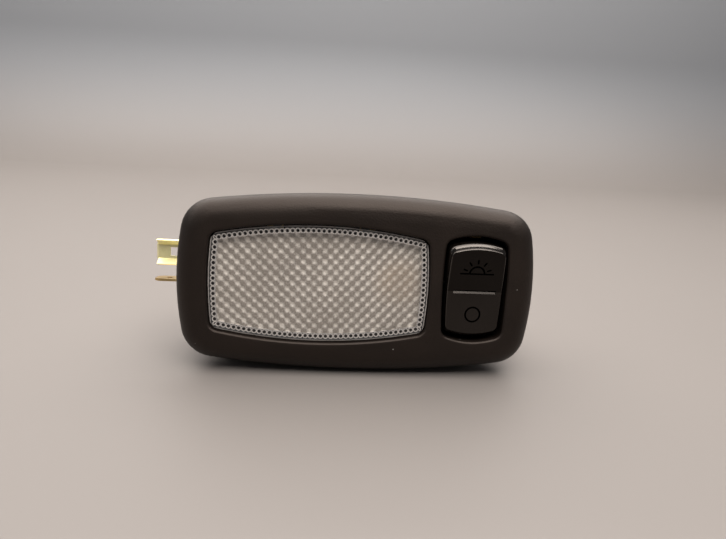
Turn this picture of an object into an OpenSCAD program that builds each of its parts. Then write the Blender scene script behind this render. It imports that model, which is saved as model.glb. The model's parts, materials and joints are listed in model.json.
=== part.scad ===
// Car dome light with a prismatic lens, a festoon bulb and a rocker switch.
// Millimetres. X runs along the lamp, Z up its short way as it stands on its long edge,
// and the face looks towards -Y. The origin is the middle of the frame on the plane Y = 0,
// where the frame's rear rim seats on the headliner.

/* [Face frame] */
// Length of the frame
frame_w = 118; // [110:0.5:130]
// Height of the frame at its middle
frame_h = 58.5; // [54:0.5:66]
// How far the long edges bow outwards
long_bow = 4.8; // [3:0.1:7]
// How far the short ends bow outwards
end_bow = 4.6; // [3:0.1:6]
// Corner radius of the frame
corner_r = 11; // [8.5:0.1:12]
// Depth of the frame from the rear rim to its crown
frame_depth = 11; // [10.5:0.1:14]
// Width of the rolled outer edge
roll_w = 7; // [5:0.1:7.4]
// Depth of the rolled outer edge
roll_depth = 6.2; // [4:0.1:7]
// Side wall of the frame
frame_wall = 2.4; // [1.8:0.1:3]
// Thickness of the face plate
plate_t = 2.2; // [1.6:0.1:2.6]
// Wall of the collars behind both windows
collar_t = 1.5; // [1:0.1:1.6]
// Width of the rounded lip round both windows
lip_w = 1.2; // [0.6:0.1:1.4]
// Depth of that rounded lip
lip_depth = 0.9; // [0.4:0.1:1.2]

/* [Lens] */
// Middle of the lens along the lamp
lens_x = -12.8; // [-14:0.1:-12]
// Length of the lens
lens_w = 71.2; // [66:0.1:72]
// Width of the face above and below the lens at its middle
lens_band = 10.3; // [9.5:0.1:12]
// How far the lens bows at top and bottom
lens_bow = 3.9; // [2:0.1:5]
// How far the lens bows at its ends
lens_end_bow = 1.55; // [0.8:0.05:2.5]
// Corner radius of the lens
lens_corner = 3.2; // [2.9:0.1:4.2]
// How far the lens face lies behind the crown
lens_recess = 1.6; // [1.2:0.1:2.4]
// Thickness of the lens plate without its prisms
lens_t = 1.4; // [1:0.1:2]
// Distance between two rows of prisms
prism_pitch = 2.49; // [2:0.01:4]
// Height of the prisms
prism_h = 0.8; // [0.5:0.1:1.4]
// Turn of the prism lattice on the lens
lattice_turn = 2; // [0:0.5:8]
// Wall of the skirt round the lens
skirt_t = 2.1; // [1.8:0.1:2.4]
// Depth of the lens with its skirt
skirt_depth = 4.8; // [3.6:0.1:5]
// Distance between two flutes in the skirt
flute_pitch = 1.65; // [1.4:0.05:3]
// Radius of a flute
flute_r = 0.6; // [0.4:0.05:0.65]
// Distance from the lens middle to each snap tongue
tongue_x = 15; // [10:0.5:24]
// Width of a snap tongue on the lens
tongue_w = 5; // [3:0.5:7]
// Gap round the lens in its window
lens_gap = 0.3; // [0.2:0.05:0.5]
// Width of the ledge that the skirt of the lens stands on
ledge_w = 2.7; // [2.5:0.1:3.2]
// Thickness of that ledge
ledge_t = 1; // [0.8:0.1:1.2]

/* [Switch] */
// Middle of the switch along the lamp
switch_x = 37.8; // [37.4:0.1:39]
// Width of the switch opening
opening_w = 21.2; // [20.8:0.1:21.4]
// Width of the face above and below the switch opening at its middle
switch_band = 11.65; // [11:0.05:12]
// How far the opening bows at top and bottom
opening_bow = 2.4; // [1.6:0.1:3]
// How far the opening bows at its sides
opening_side_bow = 0.75; // [0.4:0.05:1]
// Corner radius of the opening
opening_corner = 3; // [2.4:0.1:4]
// Gap on either side of the rocker in its opening
rocker_side_gap = 1.35; // [1.2:0.05:2.5]
// Distance from either end of the rocker's face to the opening's edge
rocker_end_gap = 2.9; // [2.8:0.1:4.5]
// Radius of the corners of the rocker's face
rocker_corner = 2.2; // [1.4:0.1:2.8]
// How far the shoulder stands out beyond the face at either end
shoulder_end = 1.4; // [0.8:0.1:1.5]
// How far the shoulder stands out beyond the face at either side
shoulder_side = 0.5; // [0.3:0.1:0.8]
// Step from the end of the face down to the shoulder
shoulder_drop = 1.1; // [0.9:0.1:1.8]
// Depth over which the shoulder rounds over
shoulder_depth = 1.8; // [1.2:0.1:2.4]
// How far the rocker's ends bow
rocker_bow = 1.8; // [1:0.1:2.4]
// How far the rocker's sides bow
rocker_side_bow = 0.45; // [0.2:0.05:0.8]
// Width of the groove across the face
groove_w = 1.2; // [0.8:0.1:1.6]
// Depth of that groove
groove_d = 0.55; // [0.3:0.05:0.8]
// Tilt of the rocker to either side of its middle
rocker_tilt = 8; // [5:0.5:9]
// Slope of each half of the face towards the middle groove
face_dish = 4; // [1:0.5:6]
// Distance from the pivot to the middle of the face
rocker_face = 7.7; // [7:0.1:8.2]
// Wall of the rocker shell
rocker_wall = 1.6; // [1.2:0.1:2]
// Depth of the engraved symbols
engrave = 0.35; // [0.2:0.05:0.5]
// Distance from the rim plane forward to the pivot
pivot_in = 3; // [2.5:0.1:4]
// Height of the pivot above the middle of the opening
pivot_z = 0.5; // [0:0.01:1]
// Radius of the pivot pins
pin_r = 1.6; // [1.2:0.1:2]
// Running clearance of the pivot pins
pin_gap = 0.05; // [0.02:0.01:0.08]
// Distance from the pivot to the round dog that drives the carriage
dog_reach = 8.5; // [8:0.1:9.5]
// Radius of the dog
dog_r = 1.5; // [1:0.1:1.6]
// Sliding clearance of the dog and of the carriage
slide_gap = 0.05; // [0.03:0.01:0.1]

/* [Housing] */
// Depth of the housing behind the rim plane
housing_d = 23; // [21:0.5:26]
// Wall of the housing
housing_wall = 1.8; // [1.4:0.1:2.2]
// Gap between the frame's wall and the housing
housing_gap = 0.4; // [0.3:0.05:0.6]
// Radius of the housing's rear edge
housing_edge = 3; // [1.5:0.5:4]
// Thickness of the inner ribs
rib_t = 1.4; // [1:0.1:1.8]

/* [Bulb and strips] */
// Length of the bulb over its tips
bulb_l = 41; // [36:0.5:43]
// Radius of the bulb glass
bulb_r = 5.25; // [4.5:0.05:6]
// Gap between the bulb and the reflector
bulb_gap = 0.35; // [0.3:0.05:0.6]
// Radius of the bulb caps
cap_r = 4; // [3.4:0.1:4.2]
// Thickness of the brass strips
strip_t = 0.8; // [0.6:0.05:0.9]
// Width of the blade terminal
blade_w = 6.3; // [5.8:0.1:6.6]
// Height of the blade terminal's underside
blade_z = -3.3; // [-4:0.1:-3]
// How far the blade stands out from the housing wall
blade_out = 13; // [10:0.5:16]
// Depth of the flat strips behind the rim plane
strip_y = 10; // [9.8:0.1:10.4]
// Distance from the housing's inner wall to the earth strip's long run
run_gap = 5.25; // [5:0.05:7]
// Width of the earth strip's long run
run_h = 3.2; // [3:0.1:3.8]

/* [Earth clip] */
// Thickness of the clip
clip_t = 0.6; // [0.4:0.05:0.7]
// Middle height of the clip
clip_z = 6.4; // [6:0.1:7]
// Height of the clip's web
web_h = 5.2; // [4.6:0.1:6]
// Length of each splayed flange
flange_l = 2.9; // [2:0.1:3.2]
// Splay of the flanges from the web
flange_angle = 35; // [20:5:60]
// How far the clip stands out from the housing wall
clip_out = 12.6; // [10:0.2:15]
// Height of the hole in the web
clip_hole_h = 3; // [2:0.1:3.4]

/* [Hidden] */
$fn = 48;
eps = 0.01;

// Radii of the bowed outlines, from half a chord and its rise
function bow_radius(half, rise) = (half * half + rise * rise) / (2 * rise);

// A bowed outline is kept as [half width, half height, long radius, end radius, corner radius]
function outline(w, h, bow, side_bow, corner) =
    [w / 2, h / 2, bow_radius(w / 2, bow), bow_radius(h / 2, side_bow), corner];
function inset(o, d) = [o[0] - d, o[1] - d, o[2] - d, o[3] - d, max(o[4] - d, 0.3)];

// Centre of the corner circle that touches the long arc and the end arc from inside
function corner_centre(o) =
    let (a = [0, o[1] - o[2]],
         b = [o[0] - o[3], 0],
         ra = o[2] - o[4],
         rb = o[3] - o[4],
         d = norm(b - a),
         along = (ra * ra - rb * rb + d * d) / (2 * d),
         off = sqrt(ra * ra - along * along),
         u = (b - a) / d,
         p = a + along * u,
         n = [-u[1], u[0]])
    (p + off * n)[0] > 0 && (p + off * n)[1] > 0 ? p + off * n : p - off * n;

function arc_points(c, r, from, to, steps) =
    [for (k = [0:steps]) c + r * [cos(from + (to - from) * k / steps),
        sin(from + (to - from) * k / steps)]];

// First quadrant of an outline, from the end's middle to the top's middle
function quadrant(o, steps) =
    let (c = corner_centre(o),
         a = [0, o[1] - o[2]],
         b = [o[0] - o[3], 0],
         to_a = c - a,
         to_b = c - b,
         top = atan2(to_a[1], to_a[0]),
         side = atan2(to_b[1], to_b[0]),
         first = arc_points(b, o[3], 0, side, ceil(steps / 2)),
         turn = arc_points(c, o[4], side, top, steps),
         last = arc_points(a, o[2], top, 90, steps))
    concat(first, [for (k = [1:len(turn) - 1]) turn[k]], [for (k = [1:len(last) - 1]) last[k]]);

// Whole outline, anticlockwise from the right end's middle
function loop(o, steps = 8) =
    let (q = quadrant(o, steps), n = len(q))
    concat([for (k = [0:n - 1]) q[k]],
           [for (k = [n - 2:-1:0]) [-q[k][0], q[k][1]]],
           [for (k = [1:n - 1]) [-q[k][0], -q[k][1]]],
           [for (k = [n - 2:-1:1]) [q[k][0], -q[k][1]]]);

// Length round an outline, and the point and direction at a distance along it
function walk(pts, k = 0, sum = 0) =
    k == len(pts) ? [sum] : concat([sum], walk(pts, k + 1, sum + norm(pts[(k + 1) % len(pts)] - pts[k])));
function spot(pts, sums, s, k = 0) =
    s <= sums[k + 1] || k == len(pts) - 1
        ? let (a = pts[k], b = pts[(k + 1) % len(pts)], d = b - a)
          [a + d * (s - sums[k]) / norm(d), atan2(d[1], d[0])]
        : spot(pts, sums, s, k + 1);

module along_x(x0, x1) translate([x0, 0, 0]) rotate([90, 0, 90]) linear_extrude(x1 - x0) children();
module along_y(y0, y1) translate([0, y1, 0]) rotate([90, 0, 0]) linear_extrude(y1 - y0) children();
module along_z(z0, z1) translate([0, 0, z0]) linear_extrude(z1 - z0) children();
module box(x, y, z) translate([x[0], y[0], z[0]]) cube([x[1] - x[0], y[1] - y[0], z[1] - z[0]]);
module flat(o, x = 0) translate([x, 0]) polygon(loop(o));

// Solid through a row of [y, outline] sections, front section first
module loft(sections, x = 0, steps = 8) {
    loops = [for (s = sections) loop(s[1], steps)];
    n = len(loops[0]);
    m = len(loops);
    points = [for (k = [0:m - 1]) for (p = loops[k]) [p[0] + x, sections[k][0], p[1]]];
    sides = [for (k = [0:m - 2]) for (j = [0:n - 1])
        let (a = k * n + j, b = k * n + (j + 1) % n)
        each [[a, b, b + n], [a, b + n, a + n]]];
    front = [[for (j = [n - 1:-1:0]) j]];
    back = [[for (j = [0:n - 1]) (m - 1) * n + j]];
    polyhedron(points, concat(sides, front, back), convexity = 6);
}

// Derived sizes of the frame
lens_h = frame_h - 2 * lens_band;
opening_h = frame_h - 2 * switch_band;
rocker_w = opening_w - 2 * rocker_side_gap;
rocker_h = opening_h - 2 * rocker_end_gap;
frame_o = outline(frame_w, frame_h, long_bow, end_bow, corner_r);
lens_o = outline(lens_w, lens_h, lens_bow, lens_end_bow, lens_corner);
opening_o = outline(opening_w, opening_h, opening_bow, opening_side_bow, opening_corner);
face_y = -frame_depth;
roll_start = face_y + roll_depth;
plate_back = face_y + plate_t;
step_y = roll_start - 1.4;
lens_y = face_y + lens_recess;
lens_back = lens_y + skirt_depth;
ledge_y = lens_back + 0.1;
collar_back = ledge_y + ledge_t;
pivot_y = -pivot_in;
well_back = pivot_y + pin_r + 1.2;
tongue_xs = [lens_x - tongue_x, lens_x + tongue_x];

// Derived sizes of the housing
housing_o = inset(frame_o, frame_wall + housing_gap);
inner_o = inset(housing_o, housing_wall);
floor_y = housing_d - housing_wall;
front_edge = step_y + 0.2;
wall_x = housing_o[0];
snap_xs = [-38, 0, 38];
snap_w = 7;
snap_back = 5.5;
snap_t = 1.4;
partition_x = switch_x - opening_w / 2 - collar_t;

// Derived sizes of the bulb and the strips
bulb_y = strip_y - 0.9 - bulb_gap - bulb_r;
hole_r = 1.6;
cap_poke = 0.8;
leg_in = bulb_l / 2 - cap_poke;
leg_half = blade_w / 2;
leg_front = bulb_y - 4.6;
blade_y = [strip_y + strip_t + 0.5 - blade_w, strip_y + strip_t + 0.5];
run_z = [inner_o[1] - run_gap - run_h, inner_o[1] - run_gap];
run_left = -(wall_x - housing_wall - 3.6);
run_w = 4.4;
stake_r = 1;
stake_gap = 0.1;
stake_head = 1.7;
rail_w = 4.2;
rail_off = 4.9;
clip_y = strip_y - clip_t;
rivet_at = [run_left + run_w / 2, clip_z];

// Derived sizes of the rocker and its carriage
pad_o = outline(rocker_w, rocker_h, rocker_bow, rocker_side_bow, rocker_corner);
shoulder_o = outline(rocker_w + 2 * shoulder_side, rocker_h + 2 * shoulder_end, rocker_bow, rocker_side_bow,
                     rocker_corner + shoulder_side);
shoulder_y = shoulder_drop - rocker_face - rocker_h / 2 * tan(face_dish);
rocker_back = 0.5;
travel = 2 * dog_reach * sin(rocker_tilt);
rest_z = pivot_z + dog_reach * sin(rocker_tilt);
symbol_r = rocker_h * 0.0925;
sun_up = rocker_h * 0.208;
ring_down = rocker_h * 0.263;
carriage_w = 14;
carriage_l = 14;
carriage_y = [pivot_y + dog_reach - dog_r + 0.2, pivot_y + dog_reach + dog_r + 0.2];
bridge_z = 4;
foot_y = strip_y - 0.1;
notch_d = 0.6;

module bezel() color([0.11, 0.095, 0.085]) difference() {
    union() {
        difference() {
            loft([for (k = [0:7])
                      let (a = 90 - 90 * k / 7)
                      [roll_start - roll_depth * sin(a), inset(frame_o, roll_w * (1 - cos(a)))],
                  [0, frame_o]]);
            along_y(step_y, 1) flat(inset(frame_o, frame_wall));
            along_y(plate_back, step_y + eps) flat(inset(frame_o, frame_wall + 2.4));
        }
        // Collar behind the lens window, and the well that holds the rocker's pins
        along_y(plate_back - 0.4, collar_back) flat(inset(lens_o, -lens_gap - collar_t), lens_x);
        along_y(plate_back - 0.4, well_back) flat(inset(opening_o, -collar_t), switch_x);
        // Ribs that tie the collars to the side walls
        for (x = [lens_x, lens_x + lens_w / 2 + 2.2]) for (s = [-1, 1])
            box([x - rib_t / 2, x + rib_t / 2], [plate_back - 0.4, step_y],
                s > 0 ? [lens_h / 2 + lens_gap + 1, frame_h / 2 - frame_wall - 3]
                      : [-frame_h / 2 + frame_wall + 3, -lens_h / 2 - lens_gap - 1]);
        // Snap tongues that hold the housing
        for (x = snap_xs) {
            along_y(plate_back - 0.4, snap_back) snap_band(x, snap_w, 0.3, 0.3 + snap_t);
            along_y(snap_back - 3, snap_back - 1) snap_band(x, snap_w, 1.2 - housing_wall, 0.3 + eps);
        }
    }
    window(inset(lens_o, -lens_gap), ledge_y, lens_x);
    along_y(ledge_y - 1, collar_back + 1) flat(inset(lens_o, ledge_w), lens_x);
    // Ways through the ledge for the snap tongues of the lens
    for (x = tongue_xs) along_y(ledge_y - 1, collar_back + 1) intersection() {
        flat(inset(lens_o, -lens_gap - eps), lens_x);
        translate([x - tongue_w / 2 - 0.2, -frame_h]) square([tongue_w + 0.4, 2 * frame_h]);
    }
    window(opening_o, well_back + 1, switch_x);
    translate([switch_x - bore_l / 2, pivot_y, pivot_z]) rotate([0, 90, 0])
        cylinder(r = pin_r + pin_gap, h = bore_l);
}

// Opening through the face with its rounded lip
module window(o, back, x) loft(concat(
    [for (t = [0, 35, 65, 90]) [face_y + lip_depth * (1 - cos(t)) - (t == 0 ? eps : 0),
        inset(o, -lip_w * (1 - sin(t)))]],
    [[back, o]]), x);

// Stretch of a band inside the housing wall, at top and bottom, between two depths from that wall
module snap_band(x, w, from, to) intersection() {
    difference() {
        flat(inset(inner_o, from));
        flat(inset(inner_o, to));
    }
    translate([x - w / 2, -frame_h]) square([w, 2 * frame_h]);
}

module lens() color([0.86, 0.88, 0.9, 0.6]) {
    loft([[lens_y, inset(lens_o, 0.45)], [lens_y + 0.15, inset(lens_o, 0.12)], [lens_y + 0.5, lens_o],
          [lens_y + lens_t, lens_o]], lens_x, 4);
    along_y(lens_y + lens_t - eps, lens_back) difference() {
        translate([lens_x, 0]) polygon(loop(lens_o, 4));
        translate([lens_x, 0]) polygon(fluted_wall);
    }
    intersection() {
        prism_field();
        along_y(lens_y, lens_back) polygon([for (p = loop(field_o, 5)) p + [lens_x, 0]]);
    }
    for (x = tongue_xs) {
        along_y(lens_back - eps, collar_back + 2.6) tongue_band(x, 0, 1.1);
        along_y(collar_back + 0.15, collar_back + 1.6) tongue_band(x, -lens_gap - 0.5, eps);
    }
}

// Field of four sided prisms on the inner side of the plate: one sheet with shared edges, cut to
// the field's outline. A cell (i, j) is made when its middle lies inside a wider outline.
field_o = inset(lens_o, skirt_t + 0.15);
reach_o = inset(field_o, -prism_pitch * 0.75);
lattice_u = [cos(45 + lattice_turn), sin(45 + lattice_turn)];
lattice_v = [-sin(45 + lattice_turn), cos(45 + lattice_turn)];
lattice_n = ceil((lens_w + lens_h) / 2 / sqrt(2) / prism_pitch) + 1;
function lattice(i, j) = prism_pitch * (i * lattice_u + j * lattice_v);
function within(o, p) = norm([p[0], abs(p[1]) + o[2] - o[1]]) < o[2] && norm([abs(p[0]) + o[3] - o[0],
    p[1]]) < o[3];
function kept(i, j) = within(reach_o, lattice(i + 0.5, j + 0.5));

module prism_field() {
    side = 2 * lattice_n + 2;
    root = lens_y + lens_t;
    function at(i, j) = (i + lattice_n) * side + j + lattice_n;
    grid = [for (i = [-lattice_n:lattice_n + 1]) for (j = [-lattice_n:lattice_n + 1]) lattice(i, j)];
    tips = [for (i = [-lattice_n:lattice_n + 1]) for (j = [-lattice_n:lattice_n + 1]) lattice(i + 0.5,
        j + 0.5)];
    low = len(grid);
    tip = 2 * low;
    points = concat([for (p = grid) [p[0] + lens_x, root, p[1]]],
        [for (p = grid) [p[0] + lens_x, root - 0.2, p[1]]],
                    [for (p = tips) [p[0] + lens_x, root + prism_h, p[1]]]);
    faces = [for (i = [-lattice_n:lattice_n]) for (j = [-lattice_n:lattice_n]) if (kept(i, j))
        let (a = at(i, j), b = at(i + 1, j), c = at(i + 1, j + 1), d = at(i, j + 1), t = tip + a)
        each concat([[a, b, t], [b, c, t], [c, d, t], [d, a, t], [low + a, low + d, low + c, low + b]],
                    kept(i, j - 1) ? [] : [[b, a, low + a, low + b]],
                        kept(i + 1, j) ? [] : [[c, b, low + b, low + c]],
                    kept(i, j + 1) ? [] : [[d, c, low + c, low + d]],
                        kept(i - 1, j) ? [] : [[a, d, low + d, low + a]])];
    polyhedron(points, faces, convexity = 10);
}

// Inner wall of the skirt: a row of half round flutes, left plain beside the tongues
skirt_loop = loop(inset(lens_o, skirt_t), 6);
skirt_sums = walk(skirt_loop);
skirt_length = skirt_sums[len(skirt_loop)];
flute_count = floor(skirt_length / flute_pitch);
fluted_wall = [for (k = [0:flute_count - 1]) each
    let (s = spot(skirt_loop, skirt_sums, (k + 0.5) * skirt_length / flute_count),
         plain = min([for (x = tongue_xs) abs(s[0][0] + lens_x - x)]) < flute_pitch && abs(s[0][1]) >
             lens_h / 4)
    plain ? [s[0]] : [for (a = [180:60:360]) s[0] + flute_r * [cos(s[1] + a), sin(s[1] + a)]]];

// Stretch of a band along the lens outline at top and bottom, between two depths
module tongue_band(x, from, to) intersection() {
    difference() {
        flat(inset(lens_o, from), lens_x);
        flat(inset(lens_o, to), lens_x);
    }
    translate([x - tongue_w / 2, -frame_h]) square([tongue_w, 2 * frame_h]);
}

module housing() color([0.82, 0.81, 0.78]) difference() {
    union() {
        difference() {
            loft([[front_edge, housing_o], [housing_d - housing_edge, inset(housing_o, 0.3)],
                  [housing_d - housing_edge * 0.3, inset(housing_o, 0.3 + housing_edge * 0.3)],
                  [housing_d, inset(housing_o, 0.3 + housing_edge)]]);
            loft([[front_edge - 1, inner_o], [floor_y - housing_edge * 0.6, inset(inner_o, 0.3)],
                  [floor_y, inset(inner_o, 0.3 + housing_edge * 0.6)]]);
        }
        intersection() {
            along_y(-1, floor_y + eps) flat(inset(housing_o, 0.9));
            union() {
                // Wall between the bulb's room and the switch's room
                box([partition_x, partition_x + rib_t], [well_back + 0.4, floor_y + eps],
                    [-frame_h, frame_h]);
                // Saddles under the reflector
                for (x = [leg_in - 5, 5 - leg_in]) difference() {
                    box([lens_x + x - rib_t / 2, lens_x + x + rib_t / 2], [3, floor_y + eps],
                        [0.4 - trough_half, trough_half - 0.4]);
                    translate([lens_x - bulb_l, trough_c, 0]) rotate([0, 90,
                        0]) cylinder(r = trough_r + sheet_t + 0.1, h = 2 * bulb_l);
                }
                // Posts under the strips
                for (p = stakes) box([p[0] - 2, p[0] + 2], [strip_y + strip_t, floor_y + eps],
                    [p[1] - 2, p[1] + 2]);
                box([run_left, run_left + run_w], [strip_y + strip_t, floor_y + eps],
                    [clip_z - 4.4, clip_z + 4.4]);
                // Jaw that carries the blade terminal
                for (z = [blade_z - 1.6, blade_z + strip_t + 0.1])
                    box([run_left - 1, run_left + 5], [blade_y[0] + 1, floor_y + eps], [z, z + 1.5]);
            }
        }
        // Stakes through the strips, with their heads
        for (p = stakes) translate([p[0], strip_y - 0.7, p[1]]) rotate([-90, 0, 0]) {
            cylinder(r = stake_head, h = 0.6);
            cylinder(r = stake_r, h = floor_y - strip_y + 0.7);
        }
        // Fixed lug that goes behind the roof panel
        box([wall_x - housing_wall, wall_x + 5], [3.2, 5.2], [-5, 5]);
        for (z = [-3.6, 2.6]) box([wall_x - housing_wall, wall_x + 3], [5, 11], [z, z + 1]);
    }
    // Windows for the frame's snap tongues
    for (x = snap_xs) along_y(snap_back - 3.3, snap_back - 0.7) snap_band(x, snap_w + 0.6,
        -housing_wall - 1, 1);
    // Slots for the blade, the clip, and the strip between the two rooms
    box([-wall_x - 2, -wall_x + housing_wall + 1], [blade_y[0] - 0.15, blade_y[1] + 0.15],
        [blade_z - 0.15, blade_z + strip_t + 0.15]);
    box([-wall_x - 2, -wall_x + housing_wall + 1], [clip_y - 0.15, clip_y + clip_t + 0.15],
        [clip_z - web_h / 2 - 0.2, clip_z + web_h / 2 + 0.2]);
    box([partition_x - 1, partition_x + rib_t + 1], [strip_y - 0.15, strip_y + strip_t + 0.15],
        [-leg_half - 0.2, leg_half + 0.2]);
    box([partition_x - 1, partition_x + rib_t + 1], [strip_y - 0.15, strip_y + strip_t + 0.15],
        [run_z[0] - 0.2, run_z[1] + 0.2]);
    translate([rivet_at[0], strip_y, rivet_at[1]]) rotate([-90, 0, 0]) cylinder(r = rivet_r + 0.05, h = 6);
    // Vents in the floor
    for (k = [-3:3]) box([lens_x + k * 5 - 0.8, lens_x + k * 5 + 0.8], [floor_y - 1, housing_d + 1],
        [-8, 8]);
}
trough_r = 17;
trough_half = 13.8;
trough_c = strip_y - 0.9 - trough_r;
sheet_t = 0.5;
rivet_r = 1.2;
mid_run = (run_z[0] + run_z[1]) / 2;
stake_half = 15.5;
stakes = [[lens_x - stake_half, mid_run], [lens_x + stake_half, mid_run],
          [partition_x + rib_t + 2.2, mid_run], [partition_x - 2 * rib_t, 0]];

// Formed sheet trough behind the bulb
module reflector() color([0.85, 0.85, 0.84]) intersection() {
    translate([lens_x - leg_in + 0.5, trough_c, 0]) rotate([0, 90, 0]) difference() {
        cylinder(r = trough_r + sheet_t, h = 2 * leg_in - 1);
        translate([0, 0, -1]) cylinder(r = trough_r, h = 2 * bulb_l);
    }
    box([lens_x - bulb_l, lens_x + bulb_l], [0, strip_y], [-trough_half, trough_half]);
}

module on_bulb_axis(side) translate([lens_x, bulb_y, 0]) rotate([0, side * 90, 0]) children();

module bulb_glass() color([0.9, 0.93, 0.95, 0.4]) on_bulb_axis(1) rotate_extrude() difference() {
    polygon(glass_half(0, glass_tip));
    polygon(glass_half(0.6, glass_tip - 1.6));
}
cap_l = 7.4;
glass_tip = bulb_l / 2 - 3.6;
function glass_half(wall, tip) =
    [[0, -tip], [cap_r - 0.6 - wall, -tip], [cap_r - 0.6 - wall, -bulb_l / 2 + cap_l + 0.4],
     [bulb_r - 0.5 - wall, -bulb_l / 2 + cap_l + 1.6], [bulb_r - wall, -bulb_l / 2 + cap_l + 3],
     [bulb_r - wall, bulb_l / 2 - cap_l - 3], [bulb_r - 0.5 - wall, bulb_l / 2 - cap_l - 1.6],
     [cap_r - 0.6 - wall, bulb_l / 2 - cap_l - 0.4], [cap_r - 0.6 - wall, tip], [0, tip]];

// Turned cap with a cone that snaps into the hole of its contact leg
module bulb_cap(side) color([0.78, 0.76, 0.7]) on_bulb_axis(side) translate([0, 0,
    bulb_l / 2]) rotate_extrude()
    polygon([[0, 0], [0.9, 0], [hole_r - 0.15, -0.5], [hole_r - 0.1, -cap_poke], [cap_r - 0.4, -3],
        [cap_r, -3.4],
             [cap_r, -cap_l], [cap_r - 0.5, -cap_l], [cap_r - 0.5, -3.5], [0, -3.5]]);
module bulb_cap_left() bulb_cap(-1);
module bulb_cap_right() bulb_cap(1);

// Filament coil between its two lead wires
module filament() color([0.45, 0.45, 0.47]) on_bulb_axis(1) {
    translate([0, 0, -8]) cylinder(r = 0.5, h = 16, $fn = 24);
    for (s = [-1, 1]) translate([0, 0, s > 0 ? 8 - eps : -(glass_tip - 1.7)]) cylinder(r = 0.25,
        h = glass_tip - 9.7 + eps, $fn = 16);
}

module feed_strip() color([0.80, 0.63, 0.28]) difference() {
    union() {
        box([lens_x - leg_in - strip_t, lens_x - leg_in], [leg_front, blade_y[1]], [blade_z, leg_half + 1]);
        box([-wall_x + 1, lens_x - leg_in], blade_y, [blade_z, blade_z + strip_t]);
        // Blade with a tapered tip
        along_z(blade_z, blade_z + strip_t) polygon([
            [-wall_x + 1 + eps, blade_y[0]], [-wall_x + 1 + eps, blade_y[1]],
                [-wall_x - blade_out + 1.6, blade_y[1]],
            [-wall_x - blade_out, blade_y[1] - 1.4], [-wall_x - blade_out, blade_y[0] + 1.4],
            [-wall_x - blade_out + 1.6, blade_y[0]]]);
    }
    on_bulb_axis(-1) cylinder(r = hole_r, h = bulb_l);
    translate([-wall_x - blade_out + 4.5, (blade_y[0] + blade_y[1]) / 2, blade_z - 1]) cylinder(r = 0.9,
        h = 3);
}

module lamp_strip() color([0.80, 0.63, 0.28]) difference() {
    union() {
        box([lens_x + leg_in, lens_x + leg_in + strip_t], [leg_front, strip_y + strip_t],
            [-leg_half, leg_half]);
        box([lens_x + leg_in, switch_x - rail_off + rail_w / 2], [strip_y, strip_y + strip_t],
            [-leg_half, leg_half]);
        box([switch_x - rail_off - rail_w / 2, switch_x - rail_off + rail_w / 2],
            [strip_y, strip_y + strip_t], [-leg_half, rail_end]);
    }
    on_bulb_axis(1) cylinder(r = hole_r, h = bulb_l);
    stake_holes();
}
rail_end = rest_z + bridge_z - 1.2;

module earth_strip() color([0.80, 0.63, 0.28]) difference() {
    union() {
        box([switch_x + rail_off - rail_w / 2, switch_x + rail_off + rail_w / 2],
            [strip_y, strip_y + strip_t], [-5, run_z[1]]);
        box([run_left, switch_x + rail_off], [strip_y, strip_y + strip_t], run_z);
        box([run_left, run_left + run_w], [strip_y, strip_y + strip_t], [clip_z - 3.4, run_z[1]]);
    }
    stake_holes();
    translate([rivet_at[0], strip_y - 1, rivet_at[1]]) rotate([-90, 0, 0]) cylinder(r = rivet_r + 0.1,
        h = 4);
}
module stake_holes() for (p = stakes) translate([p[0], strip_y - 1, p[1]]) rotate([-90, 0,
    0]) cylinder(r = stake_r + stake_gap, h = 4);

// Sprung channel of plated sheet that grips the roof panel and earths the lamp on it
module earth_clip() color([0.78, 0.70, 0.26]) difference() {
    union() {
        box([-wall_x - clip_out, run_left + run_w], [clip_y, clip_y + clip_t],
            [clip_z - web_h / 2, clip_z + web_h / 2]);
        for (s = [-1, 1]) translate([0, clip_y, clip_z + s * web_h / 2]) along_x(-wall_x - clip_out,
            -wall_x - 1)
            polygon([[0, -s * 0.3], [clip_t, -s * 0.3], [clip_t, s * clip_t * 0.3],
                     [clip_t - sin(90 - flange_angle) * flange_l,
                         s * (clip_t * 0.3 + cos(90 - flange_angle) * flange_l) ],
                     [-sin(90 - flange_angle) * flange_l,
                         s * (cos(90 - flange_angle) * flange_l - clip_t * 0.3)]]);
        // End bent back
        along_z(clip_z - web_h / 2, clip_z + web_h / 2) polygon([
            [-wall_x - clip_out, clip_y], [-wall_x - clip_out - 0.8, clip_y + 1],
                [-wall_x - clip_out - 0.8, clip_y + 3],
            [-wall_x - clip_out - 0.8 + clip_t, clip_y + 3],
                [-wall_x - clip_out - 0.8 + clip_t, clip_y + 1.2],
            [-wall_x - clip_out + 0.4, clip_y + clip_t]]);
    }
    box([-wall_x - clip_out + 4, -wall_x - 2], [clip_y - 1, clip_y + clip_t + 1],
        [clip_z - clip_hole_h / 2, clip_z + clip_hole_h / 2]);
    translate([rivet_at[0], clip_y - 1, rivet_at[1]]) rotate([-90, 0, 0]) cylinder(r = rivet_r + 0.1,
        h = 4);
}

module clip_rivet() color([0.72, 0.72, 0.7]) translate([rivet_at[0], clip_y, rivet_at[1]]) rotate([90, 0,
    0]) {
    cylinder(r1 = 2.2, r2 = 1.4, h = 0.9);
    translate([0, 0, -clip_t - 5]) cylinder(r = rivet_r, h = clip_t + 5 + eps);
}

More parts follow.
